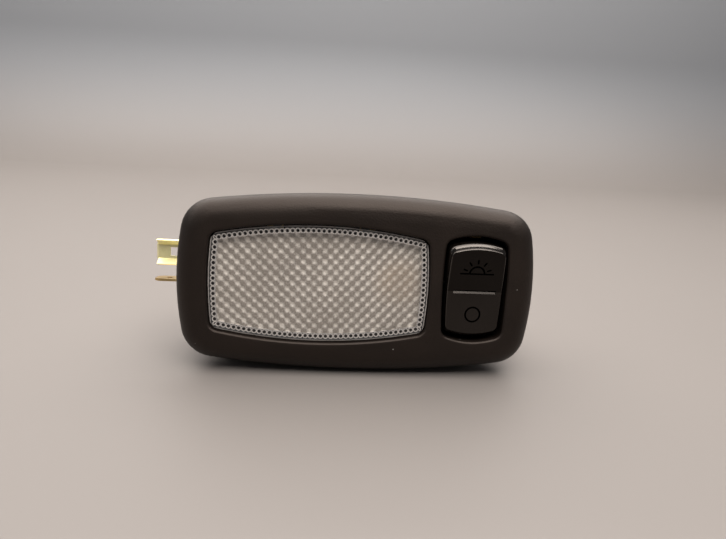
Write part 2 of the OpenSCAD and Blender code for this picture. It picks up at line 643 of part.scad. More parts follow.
// Rocker, drawn level about its pivot and then set with its off end pressed
module rocker() color([0.07, 0.065, 0.06])
translate([switch_x, pivot_y, pivot_z]) rotate([rocker_tilt, 0, 0]) difference() {
    union() {
        rocker_body();
        // Stem with the round dog, and webs on either side of it
        along_x(-stem_w / 2, stem_w / 2) {
            translate([-rocker_face + rocker_wall / 2, -rib_t])
                square([rocker_face - rocker_wall / 2 + pin_r + stem_w / 2, 2 * rib_t]);
            translate([pin_r, -rib_t / 1.4]) square([dog_reach - pin_r, rib_t * 1.4]);
            translate([dog_reach, 0]) circle(r = dog_r);
        }
        for (s = [-1, 1]) translate([0, 0, s * rocker_h / 4])
            box([-rocker_w / 2 + 1, rocker_w / 2 - 1], [-rocker_face + 1, -pin_r], [-rib_t / 2, rib_t / 2]);
        rotate([0, 90, 0]) translate([0, 0, -pin_l / 2]) cylinder(r = pin_r, h = pin_l);
    }
    // Groove across the middle of the face, steep above and sloping out below
    along_x(-groove_l / 2, groove_l / 2) polygon([
        [-rocker_face - 1, groove_w * 0.3], [-rocker_face + groove_d, groove_w * 0.3],
        [-rocker_face + groove_d, groove_w * 0.1], [-rocker_face - 0.1, -groove_w * 0.7],
        [-rocker_face - 1, -groove_w * 0.7]]);
    translate([0, -rocker_face, 0]) rotate([90 - face_dish, 0, 0])
        translate([0, sun_up, -1]) symbol_depth() sun_symbol();
    translate([0, -rocker_face, 0]) rotate([90 + face_dish, 0, 0])
        translate([0, -ring_down, -1]) symbol_depth() off_symbol();
}
stem_w = 5;
pin_l = opening_w + 2 * collar_t - 0.4;
bore_l = pin_l + 2;
groove_l = rocker_w - 4.4;
module symbol_depth() translate([0, 0, 1 - engrave]) linear_extrude(4) children();

// Shell of the rocker: a face of two planes, raised on a rounded shoulder, hollow from behind
module rocker_body() difference() {
    union() {
        loft([[shoulder_y, inset(shoulder_o, shoulder_end + 0.1)],
              [shoulder_y + shoulder_depth * 0.2, inset(shoulder_o, shoulder_end * 0.45)],
              [shoulder_y + shoulder_depth * 0.55, inset(shoulder_o, shoulder_end * 0.1)],
              [shoulder_y + shoulder_depth, shoulder_o], [rocker_back, shoulder_o]]);
        intersection() {
            along_y(-2 * rocker_face, shoulder_y + shoulder_depth) flat(pad_o);
            along_x(-rocker_w, rocker_w) polygon([[-rocker_face, 0],
                [-rocker_face - rocker_h * tan(face_dish), rocker_h],
                [0, rocker_h], [0, -rocker_h], [-rocker_face - rocker_h * tan(face_dish), -rocker_h]]);
        }
    }
    along_y(-rocker_face + rocker_wall, rocker_back + 1) flat(inset(shoulder_o, rocker_wall));
}

// Rising sun over a line, for the lamp switched on
module sun_symbol() {
    stroke = symbol_r * 0.2;
    translate([-symbol_r * 2.05, -stroke / 2]) square([symbol_r * 4.1, stroke]);
    intersection() {
        off_symbol();
        translate([-symbol_r * 1.5, 0]) square([symbol_r * 3, symbol_r * 1.5]);
    }
    for (a = [18, 54, 90, 126, 162]) rotate(a)
        translate([symbol_r * 1.22, -stroke / 2]) square([symbol_r * 0.55, stroke]);
}

// Plain ring, for the lamp switched off
module off_symbol() difference() {
    circle(r = symbol_r);
    circle(r = symbol_r * 0.78);
}

// Moulded slider that the dog pushes up and down
module contact_carriage() color([0.9, 0.88, 0.8]) translate([switch_x, 0, rest_z]) difference() {
    box([-carriage_w / 2, carriage_w / 2], carriage_y, [-carriage_l / 2, carriage_l / 2]);
    box([-3.2, 3.2], [carriage_y[0] - 1, carriage_y[1] + 1], [-dog_r - slide_gap, dog_r + slide_gap]);
    translate([0, carriage_y[1] - 2, bridge_z]) rotate([-90, 0, 0]) cylinder(r = 1.9, h = 3);
    for (z = [-rest_z, travel - rest_z]) translate([carriage_w / 2, 0, z]) along_y(carriage_y[0] - 1,
        carriage_y[1] + 1)
        polygon([[1, -1.6], [1, 1.6], [-notch_d, 0.15], [-notch_d, -0.15]]);
}

// Small coil spring that presses the bridge on the rails
module contact_spring() color([0.7, 0.7, 0.72]) translate([switch_x, 0, rest_z + bridge_z]) {
    for (k = [0:3]) translate([0, carriage_y[1] - 1.7 + k * 0.75, 0]) rotate([90, 0, 0]) rotate_extrude()
        translate([1.4, 0]) circle(r = 0.2, $fn = 16);
    for (k = [0:2]) rotate([0, k * 120, 0]) box([1.3, 1.5],
        [carriage_y[1] - 1.7 + k * 0.75, carriage_y[1] - 0.95 + k * 0.75], [-0.15, 0.15]);
}

module bridge_contact() color([0.80, 0.63, 0.28]) translate([switch_x, 0, rest_z + bridge_z]) {
    box([-rail_off - 1, rail_off + 1], [foot_y - 1.1, foot_y - 0.6], [-2, 2]);
    for (s = [-1, 1]) translate([s * rail_off, 0, 0]) box([-1, 1], [foot_y - 0.7, foot_y], [-0.8, 0.8]);
}

// Moulded base that carries the rails and guides the carriage
module switch_base() color([0.75, 0.74, 0.7]) translate([switch_x, 0, 0]) difference() {
    union() {
        box([-guide_x - 2.55, guide_x + 3.55], [strip_y + strip_t, strip_y + strip_t + 2],
            [-base_half, base_half]);
        for (x = [-foot_x, foot_x]) for (z = [2 - base_half, base_half - 2]) box([x - 1.2, x + 1.2],
            [strip_y + strip_t + 1, floor_y], [z - 1.2, z + 1.2]);
        for (s = [-1, 1]) {
            box(s > 0 ? [guide_x, guide_x + 1.5] : [-guide_x - 1.5, -guide_x],
                [carriage_y[0] - 1, strip_y + strip_t + 1], [1 - base_half, base_half - 1]);
            box(s > 0 ? [guide_x - 0.9, guide_x + 1] : [-guide_x - 1, -guide_x + 0.9],
                [carriage_y[0] - 1, carriage_y[0] - 0.1], [1 - base_half, base_half - 1]);
        }
        for (s = [-1, 1]) box([guide_x + 1, guide_x + 3.2], [carriage_y[0] - 0.6, strip_y + strip_t + 1],
            s > 0 ? [base_half - 4, base_half - 2] : [2 - base_half, 4 - base_half]);
    }
    // Ways for the lamp strip, the spring's bump and its two ends
    box([-guide_x - 3, -guide_x + 1], [strip_y - 0.1, strip_y + strip_t],
        [-leg_half - 0.2, rail_end + 0.2]);
    box([guide_x - 1, guide_x + 2], [carriage_y[0] - 0.05, carriage_y[1] + 1], [-2.4, 2.4]);
    box([guide_x + 1.7, guide_x + 2.2], [carriage_y[0] - 2, carriage_y[1] + 0.3], [-8, 8]);
}
guide_x = carriage_w / 2 + slide_gap;
foot_x = guide_x + 1.75;
base_half = carriage_l / 2 + 4;

// Leaf spring whose bump drops into either notch of the carriage
module detent_spring() color([0.72, 0.72, 0.74]) translate([switch_x + guide_x, 0,
    0]) along_y(carriage_y[0] + 0.1, carriage_y[1] - 0.1)
    polygon([[1.8, -7.8], [2.1, -7.8], [2.1, -1.9], [-0.1, -0.1], [-0.1, 0.1], [2.1, 1.9], [2.1, 7.8],
        [1.8, 7.8],
             [1.8, 1.8], [-0.45, 0.2], [-0.45, -0.2], [1.8, -1.8]]);

bezel();
lens();
housing();
reflector();
bulb_glass();
bulb_cap_left();
bulb_cap_right();
filament();
feed_strip();
lamp_strip();
earth_strip();
earth_clip();
clip_rivet();
rocker();
contact_carriage();
contact_spring();
bridge_contact();
switch_base();
detent_spring();
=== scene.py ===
"""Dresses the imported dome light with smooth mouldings, procedural finishes, a studio and a camera."""

import json
import logging
import math
from dataclasses import dataclass, field
from enum import Enum
from typing import Any, Mapping, Optional, Sequence, Union

import bmesh
import bpy
from mathutils import Matrix, Vector

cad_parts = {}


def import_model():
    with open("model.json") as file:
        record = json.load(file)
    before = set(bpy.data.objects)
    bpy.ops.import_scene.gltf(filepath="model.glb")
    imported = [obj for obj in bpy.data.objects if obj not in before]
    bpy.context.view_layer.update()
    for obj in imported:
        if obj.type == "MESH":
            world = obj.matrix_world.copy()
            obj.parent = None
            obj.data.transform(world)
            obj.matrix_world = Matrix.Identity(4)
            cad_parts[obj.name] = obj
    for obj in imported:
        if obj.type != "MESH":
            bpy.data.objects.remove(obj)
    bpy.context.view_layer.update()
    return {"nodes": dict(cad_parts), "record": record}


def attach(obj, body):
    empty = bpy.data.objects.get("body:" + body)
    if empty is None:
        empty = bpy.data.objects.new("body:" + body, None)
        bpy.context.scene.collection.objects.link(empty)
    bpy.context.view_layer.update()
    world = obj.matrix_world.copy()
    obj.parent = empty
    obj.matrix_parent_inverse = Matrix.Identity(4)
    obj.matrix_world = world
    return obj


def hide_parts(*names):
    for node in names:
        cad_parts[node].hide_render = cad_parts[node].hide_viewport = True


LOG = logging.getLogger("dome_light")
MM = 0.001
Colour = tuple[float, float, float]
Number = Union[float, "Value"]


class Body(str, Enum):
    """Moving groups of the lamp, as the record names them."""

    LAMP = "lamp"
    ROCKER = "rocker"
    CARRIAGE = "carriage"


class Value:
    """A node socket that carries a number; Python's operators on it add Math nodes."""

    def __init__(self, graph: "Graph", socket: bpy.types.NodeSocket) -> None:
        """Wraps a socket.

        Args:
            graph: the graph that the socket belongs to.
            socket: the output socket that gives the number.
        """
        self.graph = graph
        self.socket = socket

    def math(self, operation: str, *operands: Number) -> "Value":
        """Adds one Math node.

        Args:
            operation: the Math node's operation.
            operands: its inputs in order.

        Returns:
            The result as a new value.
        """
        inputs = {index: operand for index, operand in enumerate(operands)}
        made = self.graph.node("ShaderNodeMath", {"operation": operation}, inputs)
        return Value(self.graph, made.outputs[0])

    def __add__(self, other: Number) -> "Value":
        """Returns self + other."""
        return self.math("ADD", self, other)

    def __radd__(self, other: Number) -> "Value":
        """Returns other + self."""
        return self.math("ADD", other, self)

    def __sub__(self, other: Number) -> "Value":
        """Returns self - other."""
        return self.math("SUBTRACT", self, other)

    def __rsub__(self, other: Number) -> "Value":
        """Returns other - self."""
        return self.math("SUBTRACT", other, self)

    def __mul__(self, other: Number) -> "Value":
        """Returns self * other."""
        return self.math("MULTIPLY", self, other)

    def __rmul__(self, other: Number) -> "Value":
        """Returns other * self."""
        return self.math("MULTIPLY", other, self)

    def __pow__(self, other: Number) -> "Value":
        """Returns self raised to other."""
        return self.math("POWER", self, other)

    def least(self, other: Number) -> "Value":
        """Returns the smaller of self and other."""
        return self.math("MINIMUM", self, other)

    def size(self) -> "Value":
        """Returns self without its sign."""
        return self.math("ABSOLUTE", self)

    def reach(self, other: "Value") -> "Value":
        """Returns the distance that self and other span at a right angle."""
        return (self * self + other * other) ** 0.5

    def step(self, low: float, high: float) -> "Value":
        """Fades from 0 at low to 1 at high.

        Args:
            low: the value that gives 0.
            high: the value that gives 1.

        Returns:
            The eased value.
        """
        made = self.graph.node("ShaderNodeMapRange", {"interpolation_type": "SMOOTHSTEP"},
                               {"Value": self, "From Min": low, "From Max": high})
        return Value(self.graph, made.outputs[0])


class Graph:
    """The node tree of one material around a Principled shader."""

    def __init__(self, name: str) -> None:
        """Starts an empty material.

        Args:
            name: the material's name.
        """
        self.material = bpy.data.materials.new(name)
        self.material.use_nodes = True
        self.tree = self.material.node_tree
        self.tree.nodes.clear()
        self.output = self.node("ShaderNodeOutputMaterial")
        self.shader = self.node("ShaderNodeBsdfPrincipled")
        self.tree.links.new(self.shader.outputs[0], self.output.inputs["Surface"])

    def node(self, kind: str, settings: Optional[Mapping[str, Any]] = None,
             inputs: Optional[Mapping[Any, Any]] = None) -> bpy.types.Node:
        """Adds a node of any type.

        Args:
            kind: the node's type.
            settings: its properties, which are set first.
            inputs: values, links or wrapped values by the input's name or index.

        Returns:
            The new node.
        """
        made = self.tree.nodes.new(kind)
        for key, setting in (settings or {}).items():
            setattr(made, key, setting)
        for key, given in (inputs or {}).items():
            self.feed(made.inputs[key], given)
        return made

    def feed(self, target: bpy.types.NodeSocket, given: Any) -> None:
        """Links or sets one input.

        Args:
            target: the input socket.
            given: a wrapped value, a socket, a number, a vector or a colour.
        """
        if isinstance(given, Value):
            given = given.socket
        if isinstance(given, bpy.types.NodeSocket):
            self.tree.links.new(given, target)
        elif target.type == "RGBA" and len(given) == 3:
            target.default_value = (*given, 1.0)
        else:
            target.default_value = given

    def place(self, centre: Sequence[float] = (0.0, 0.0, 0.0),
              stretch: Sequence[float] = (1.0, 1.0, 1.0), turn: float = 0.0) -> bpy.types.NodeSocket:
        """Object coordinates, centred and stretched on a piece.

        Args:
            centre: the point in millimetres that becomes the pattern's origin.
            stretch: the scale along each axis.
            turn: the pattern's turn about Y in degrees.

        Returns:
            The vector socket.
        """
        source = self.node("ShaderNodeTexCoord").outputs["Object"]
        made = self.node("ShaderNodeMapping", {"vector_type": "TEXTURE"},
                         {"Vector": source, "Location": [c * MM for c in centre],
                          "Rotation": (0.0, math.radians(turn), 0.0),
                          "Scale": [1.0 / s for s in stretch]})
        return made.outputs[0]

    def split(self, where: bpy.types.NodeSocket, axes: str) -> list[Value]:
        """Takes single coordinates out of a vector.

        Args:
            where: the coordinates.
            axes: the letters of the axes that are wanted.

        Returns:
            A value for each letter.
        """
        parts = self.node("ShaderNodeSeparateXYZ", None, {"Vector": where})
        return [Value(self, parts.outputs[axis]) for axis in axes]

    def noise(self, where: bpy.types.NodeSocket, scale: float, detail: float = 3.0,
              rough: float = 0.5) -> Value:
        """Soft noise between 0 and 1.

        Args:
            where: the coordinates.
            scale: cells a metre.
            detail: number of octaves.
            rough: strength of each finer octave.

        Returns:
            The noise.
        """
        made = self.node("ShaderNodeTexNoise", None,
                         {"Vector": where, "Scale": scale, "Detail": detail, "Roughness": rough})
        return Value(self, made.outputs[0])

    def cells(self, where: bpy.types.NodeSocket, scale: float) -> Value:
        """Distance to the nearest cell point.

        Args:
            where: the coordinates.
            scale: cells a metre.

        Returns:
            The distance in cells.
        """
        made = self.node("ShaderNodeTexVoronoi", None, {"Vector": where, "Scale": scale})
        return Value(self, made.outputs["Distance"])

    def mix(self, share: Number, low: Any, high: Any) -> bpy.types.NodeSocket:
        """Mixes two colours.

        Args:
            share: 0 for low, 1 for high.
            low: the first colour.
            high: the second colour.

        Returns:
            The colour socket.
        """
        made = self.node("ShaderNodeMix", {"data_type": "RGBA"}, {0: share, 6: low, 7: high})
        return made.outputs[2]

    def set(self, **inputs: Any) -> None:
        """Feeds the Principled shader; underscores stand for the spaces in a socket's name."""
        for key, given in inputs.items():
            self.feed(self.shader.inputs[key.replace("_", " ")], given)

    def bump(self, height: Value, depth: float, strength: float = 1.0) -> None:
        """Gives the surface a relief.

        Args:
            height: relief between 0 and 1.
            depth: its depth in millimetres.
            strength: the bump's strength.
        """
        made = self.node("ShaderNodeBump", None,
                         {"Height": height, "Distance": depth * MM, "Strength": strength})
        self.feed(self.shader.inputs["Normal"], made.outputs[0])


@dataclass(frozen=True)
class GrainedPlastic:
    """Moulded plastic with a fine spark-eroded grain and handling marks."""

    name: str
    dark: Colour
    pale: Colour
    rough: float = 0.6
    grain: float = 2600.0
    relief: float = 0.02
    shine: float = 0.5
    glint: Colour = (1.0, 1.0, 1.0)
    dust: float = 0.0

    def make(self) -> bpy.types.Material:
        """Returns the finished material."""
        g = Graph(self.name)
        where = g.place()
        patch = g.noise(where, 60.0, 4.0)
        fine = g.noise(where, self.grain, 2.0)
        pores = g.cells(where, self.grain * 0.6)
        dust = 1 - g.cells(where, 110.0).step(0.012, 0.03)
        body = g.mix(patch.step(0.35, 0.7), self.dark, self.pale)
        g.set(Base_Color=g.mix(dust * self.dust, body, (0.55, 0.53, 0.50)),
              Roughness=(patch - 0.5) * 0.12 + fine * 0.08 + (self.rough - 0.04),
              Specular_IOR_Level=self.shine, Specular_Tint=self.glint)
        g.bump(fine * 0.6 + pores * 0.4, self.relief)
        return g.material


@dataclass(frozen=True)
class ClearPlastic:
    """Clear moulded plastic of the lens, with a faint haze of dust."""

    name: str
    tint: Colour
    rough: float = 0.03
    index: float = 1.49
    cover: float = 0.12

    def make(self) -> bpy.types.Material:
        """Returns the finished material."""
        g = Graph(self.name)
        where = g.place()
        haze = g.noise(where, 160.0, 4.0)
        specks = g.cells(where, 420.0)
        g.set(Base_Color=g.mix(haze.step(0.4, 0.75), self.tint, tuple(c * 0.8 for c in self.tint)),
              Roughness=haze.step(0.5, 0.8) * 0.05 + (1 - specks.step(0.04, 0.1)) * 0.2 + self.rough,
              IOR=self.index, Alpha=self.cover)
        return g.material


@dataclass(frozen=True)
class LensOutline:
    """The lens's bowed outline: two long sides and two ends, each an arc; millimetres."""

    middle: float = -12.8
    half_width: float = 35.6
    half_height: float = 18.95
    long_radius: float = 164.43
    end_radius: float = 116.62

    def depth(self, x: float, z: float) -> float:
        """Distance from the outline inwards.

        Args:
            x: place along the lamp.
            z: height.

        Returns:
            The distance.
        """
        beside = x - self.middle
        across = self.long_radius - math.hypot(beside, abs(z) + self.long_radius - self.half_height)
        along = self.end_radius - math.hypot(abs(beside) + self.end_radius - self.half_width, z)
        return min(across, along)


@dataclass(frozen=True)
class FlutedRim:
    """Clear front of the lens, painted with the flutes as spots of painted shade with painted highlight
    outlines, and a painted highlight line along the rim; millimetres.
    """

    name: str
    tint: Colour
    # pale is the painted highlight colour round the flutes and along the rim; dark is the painted shade
    # colour in the flutes.
    pale: Colour
    dark: Colour = (0.010, 0.008, 0.007)
    outline: LensOutline = LensOutline()
    loop_in: float = 2.1
    flutes_in: float = 1.75
    pitch: float = 1.6525
    dot: float = 0.52
    soft: float = 0.12
    flute_highlight: tuple[float, float] = (0.3, 0.55)
    flute_highlight_ends_in: tuple[float, float] = (2.3, 2.9)
    rim_highlight_band: tuple[float, float, float, float] = (0.05, 0.2, 0.4, 0.6)
    cover: float = 0.05

    def make(self) -> bpy.types.Material:
        """Returns the finished material."""
        g = Graph(self.name)
        lens = self.outline
        x, z = g.split(g.place((lens.middle, 0.0, 0.0), (1 / MM, 1 / MM, 1 / MM)), "XZ")
        along, long_depth = self.arc(x, z.size(), lens.long_radius, lens.half_height)
        up, end_depth = self.arc(z, x.size(), lens.end_radius, lens.half_width)
        at_end = 1 - long_depth.math("LESS_THAN", long_depth, end_depth)
        depth = long_depth.least(end_depth)
        count = (along + (up - along) * at_end) * (1 / self.pitch)
        beside = (count.math("FRACT", count) - 0.5) * self.pitch
        reach = beside.reach(depth - self.flutes_in)
        rise, fall = self.rim_highlight_band[:2], self.rim_highlight_band[2:]
        # Painted shade in each flute, a painted highlight round its outer side, and a painted highlight
        # line along the rim.
        flute_shade = 1 - reach.step(self.dot - self.soft, self.dot + self.soft)
        flute_highlight = reach.step(self.dot, self.dot + self.soft) * (
            1 - reach.step(self.dot + self.flute_highlight[0], self.dot + self.flute_highlight[1]))
        line = depth.step(*rise) * (1 - depth.step(*fall))
        pale = (flute_highlight * (1 - depth.step(*self.flute_highlight_ends_in)) + line).least(1.0)
        noise = g.noise(g.place(), 900.0, 2.0)
        # The alpha makes the painted shade and painted highlights opaque over the clear front.
        g.set(Base_Color=g.mix(pale, g.mix(flute_shade, self.tint, self.dark), self.pale),
              Roughness=noise * 0.1 + 0.05, IOR=1.49,
              Alpha=pale * 0.7 * (noise * 0.8 + 0.5) + flute_shade * 0.85 + self.cover)
        return g.material

    def arc(self, run: Value, rise: Value, radius: float, half: float) -> tuple[Value, Value]:
        """Measures along and in from one bowed side of the lens.

        Args:
            run: the place along the side.
            rise: the distance from the lens's middle line towards the side.
            radius: the side's radius.
            half: half the lens's size across the side.

        Returns:
            The length along the row of flutes, and the depth in from the side.
        """
        level = rise + (radius - half)
        turn = run.math("ARCTAN2", run, level)
        return turn * (radius - self.loop_in), radius - run.reach(level)


@dataclass(frozen=True)
class PrismSheet:
    """Inner side of the lens, painted opaque: painted highlights on the prisms' tips and painted shade
    between them, with a brass tint painted where the brass strip lies behind; millimetres.
    """

    name: str
    # bright is the painted highlight colour of the prisms' tips, dark the painted shade colour between
    # them.
    bright: Colour
    dark: Colour
    middle: float = LensOutline.middle
    pitch: float = 2.49
    turn_deg: float = 47.0
    streak_turn_deg: float = 20.0
    lean: float = 0.3
    lean_from_to: tuple[float, float] = (-20.0, 30.0)
    brass: Colour = (0.46, 0.35, 0.24)
    brass_at: tuple[float, float] = (26.0, 1.5)
    brass_from_to: tuple[float, float] = (2.0, 11.0)
    brass_share: float = 0.6

    def make(self) -> bpy.types.Material:
        """Returns the finished material."""
        g = Graph(self.name)
        centre = (self.middle, 0.0, 0.0)
        where = g.place(centre)
        x, z = g.split(where, "XZ")
        waves = 2 * math.pi / (self.pitch * MM)
        cos, sin = math.cos(math.radians(self.turn_deg)), math.sin(math.radians(self.turn_deg))
        along = x.math("COSINE", (x * cos + z * sin) * waves)
        across = x.math("COSINE", (z * cos - x * sin) * waves)
        lean = x.step(*(mm * MM for mm in self.lean_from_to)) * self.lean
        crest = 0.5 - (along * (0.63 - lean) + across * (lean + 0.37)) * 0.5
        cloud = g.noise(where, 70.0, 3.0)
        speck = g.noise(where, 1900.0, 3.0)
        streak = g.noise(g.place(centre, (1.0, 1.0, 3.0), self.streak_turn_deg), 260.0, 2.0)
        # Painted highlight on the prisms' crests, broken by streaks, with painted shade between them.
        tip = crest.step(0.25, 1.0) * (cloud * 0.5 + streak * 0.9)
        painted_light_and_mottle = tip + (speck - 0.5) * 0.9 + (cloud - 0.4) * 0.3
        # A brass tint painted where the brass strip lies behind the lens.
        from_brass = (x - self.brass_at[0] * MM).reach(z - self.brass_at[1] * MM)
        near = 1 - from_brass.step(*(mm * MM for mm in self.brass_from_to))
        # Painted light and shade: the lattice runs from the painted shade colour to the painted highlight
        # colour.
        pattern = g.mix(painted_light_and_mottle.step(-0.1, 1.0), self.dark, self.bright)
        g.set(Base_Color=g.mix(near * cloud * self.brass_share, pattern, self.brass),
              Roughness=speck * 0.2 + 0.2)
        return g.material


@dataclass(frozen=True)
class SheetMetal:
    """Rolled or plated sheet with drawing lines and a blotchy tarnish."""

    name: str
    bright: Colour
    tarnish: Colour
    rough: float = 0.3
    blotch: float = 120.0
    stretch: tuple[float, float, float] = (1.0, 18.0, 18.0)
    metal: float = 1.0

    def make(self) -> bpy.types.Material:
        """Returns the finished material."""
        g = Graph(self.name)
        where = g.place()
        blotches = g.noise(where, self.blotch, 5.0, 0.6)
        lines = g.noise(g.place(stretch=self.stretch), 240.0, 3.0)
        g.set(Base_Color=g.mix(blotches.step(0.38, 0.72), self.bright, self.tarnish),
              Roughness=lines * 0.16 + blotches * 0.1 + (self.rough - 0.13), Metallic=self.metal)
        g.bump(lines, 0.01)
        return g.material


@dataclass(frozen=True)
class BulbGlass:
    """Thin clear bulb glass with a light smoke inside."""

    name: str

    def make(self) -> bpy.types.Material:
        """Returns the finished material."""
        g = Graph(self.name)
        smoke = g.noise(g.place(), 90.0, 3.0)
        g.set(Base_Color=g.mix(smoke.step(0.4, 0.8), (0.95, 0.96, 0.97), (0.86, 0.87, 0.88)),
              Roughness=smoke * 0.04 + 0.01, IOR=1.5, Transmission_Weight=1.0)
        return g.material


@dataclass(frozen=True)
class StudioPaint:
    """Matt pale surface of the studio's floor and back, cooler up the wall."""

    name: str
    colour: Colour
    wall: Colour
    fade_from_to: tuple[float, float] = (30.0, 220.0)

    def make(self) -> bpy.types.Material:
        """Returns the finished material."""
        g = Graph(self.name)
        where = g.place()
        patch = g.noise(where, 9.0, 3.0)
        up = g.split(where, "Z")[0].step(*(mm * MM for mm in self.fade_from_to))
        floor = g.mix(patch, self.colour, tuple(c * 0.97 for c in self.colour))
        g.set(Base_Color=g.mix(up, floor, self.wall), Roughness=0.55)
        return g.material


@dataclass
class PackedLamp:
    """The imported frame's nodes and material slots, and how dressed pieces join it."""

    nodes: Mapping[str, bpy.types.Object]
    slots: Mapping[str, str]

    def hang(self, shape: bmesh.types.BMesh, mesh: bpy.types.Mesh, node: str, body: Body,
             finishes: Sequence[bpy.types.Material]) -> bpy.types.Object:
        """Writes a shape to an object, dresses it and lets it stand for a node on its body.

        Args:
            shape: the shape, which is freed.
            mesh: the mesh it is written to.
            node: the CAD node it stands for.
            body: the moving group it rides on.
            finishes: its materials in the order of the faces' indices.

        Returns:
            The new object.
        """
        mesh.materials.clear()
        for finish in finishes:
            mesh.materials.append(finish)
        shape.to_mesh(mesh)
        shape.free()
        piece = bpy.data.objects.new(f"{node}_skin", mesh)
        bpy.context.scene.collection.objects.link(piece)
        weigh = piece.modifiers.new("weigh", "WEIGHTED_NORMAL")
        weigh.keep_sharp = True
        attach(piece, body.value)
        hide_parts(node)
        LOG.info("%s: %d faces on %s", piece.name, len(mesh.polygons), body.value)
        return piece


@dataclass
class Moulding:
    """A CAD solid shown as a merged copy with smooth curved faces and weighted normals."""

    packed: PackedLamp
    node: str
    body: Body
    finishes: tuple[bpy.types.Material, ...]
    crease: float = 24.0
    merge: bool = True
    same_point: float = 2e-6
    same_plane_deg: float = 0.5

    def build(self) -> bpy.types.Object:
        """Copies, merges and smooths the solid.

        Returns:
            The piece that stands for the node.
        """
        mesh = self.packed.nodes[self.node].data.copy()
        mesh.name = f"{self.node}_skin"
        shape = bmesh.new()
        shape.from_mesh(mesh)
        bmesh.ops.remove_doubles(shape, verts=shape.verts, dist=self.same_point)
        if self.merge:
            bmesh.ops.dissolve_limit(shape, angle_limit=math.radians(self.same_plane_deg),
                                     verts=shape.verts, edges=shape.edges)
        self.shape(shape)
        for face in shape.faces:
            face.smooth = True
            face.material_index = 0
        crease = math.radians(self.crease)
        for edge in shape.edges:
            edge.smooth = len(edge.link_faces) == 2 and edge.calc_face_angle(math.pi) < crease
        self.paint(shape)
        return self.packed.hang(shape, mesh, self.node, self.body, self.finishes)

    def shape(self, shape: bmesh.types.BMesh) -> None:
        """Works on the merged solid before it is smoothed; a plain moulding stays as it is."""

    def paint(self, shape: bmesh.types.BMesh) -> None:
        """Gives faces their finish after the smoothing; a plain moulding has one finish."""

    @staticmethod
    def round_over(shape: bmesh.types.BMesh, edges: Sequence[bmesh.types.BMEdge], offset: float,
                   segments: int) -> None:
        """Rounds edges over.

        Args:
            shape: the solid.
            edges: its edges that are rounded.
            offset: the rounding's width in millimetres.
            segments: the number of faces across it.
        """
        bmesh.ops.bevel(shape, geom=edges, offset=offset * MM, segments=segments, profile=0.5,
                        affect="EDGES", material=-1, clamp_overlap=True)


@dataclass
class RockerCap(Moulding):
    """The rocker, its rim rounded over; its finishes are rim, upper half, lower half and marks, where the
    upper half's duller copy and the marks' darkest finish are painted shade.
    """

    crease: float = 32.0
    pivot: tuple[float, float, float] = (37.8, -3.0, 0.5)
    tilt_deg: float = 8.0
    dish_deg: float = 4.0
    face: float = 7.7
    half_width: float = 9.25
    half_length: float = 14.7
    side_band: float = 1.6
    end_band: float = 2.6
    groove_half: float = 0.95
    lips_half: float = 0.9
    groove_deep: float = 0.6
    marks_deep: float = 1.8
    flat: float = 0.03
    sharp_deg: float = 30.0
    rim: float = 0.7
    lip: float = 0.1

    def place(self, point: Vector) -> tuple[float, float, float]:
        """Measures a point in the rocker's own axes.

        Args:
            point: a point of the frame.

        Returns:
            Its place across the rocker, its height along it, and how far it lies behind the dished face.
        """
        turn = Matrix.Rotation(-math.radians(self.tilt_deg), 4, "X")
        x, y, z = (turn @ (point - Vector(self.pivot) * MM)) / MM
        return x, z, y + self.face + abs(z) * math.tan(math.radians(self.dish_deg))

    def in_rim(self, x: float, z: float) -> bool:
        """Says whether a place on the face lies at its outer edge."""
        return abs(x) > self.half_width - self.side_band or abs(z) > self.half_length - self.end_band

    def paint(self, shape: bmesh.types.BMesh) -> None:
        """Picks out the face's halves, the groove's lips and the sunk marks, less glossy than the rim; the
        upper half, the groove's upper lip and the sunk marks get painted shade.

        Args:
            shape: the finished solid.
        """
        for face in shape.faces:
            x, z, sunk = self.place(face.calc_center_median())
            if face.normal.y < -0.9 and sunk < self.flat:
                # Painted shade: the upper half takes the duller copy of the face's finish.
                face.material_index = 1 if z > 0.0 else 2
            elif abs(z) < self.groove_half and sunk < self.groove_deep:
                # Painted shade on the groove's upper lip, which takes the marks' dark finish; the lower lip
                # keeps the face's finish.
                face.material_index = 2 if z < 0.0 else 3
            elif sunk < self.marks_deep and not self.in_rim(x, z):
                # Painted shade in the engraved marks.
                face.material_index = 3

    def shape(self, shape: bmesh.types.BMesh) -> None:
        """Rounds the edges round the face and the groove's lips, but not the engraved symbols.

        Args:
            shape: the merged solid.
        """
        def on_rim(vertex: bmesh.types.BMVert) -> bool:
            """Says whether a corner lies on the face and at its outer edge."""
            x, z, sunk = self.place(vertex.co)
            return abs(sunk) < self.flat and self.in_rim(x, z)

        def by_groove(vertex: bmesh.types.BMVert) -> bool:
            """Says whether a corner lies on the face beside the groove."""
            _, z, sunk = self.place(vertex.co)
            return abs(sunk) < self.flat and abs(z) < self.lips_half

        for chosen, offset, segments in ((on_rim, self.rim, 4), (by_groove, self.lip, 3)):
            edges = [e for e in shape.edges if len(e.link_faces) == 2 and all(chosen(v) for v in e.verts)
                     and e.calc_face_angle() > math.radians(self.sharp_deg)]
            self.round_over(shape, edges, offset, segments)


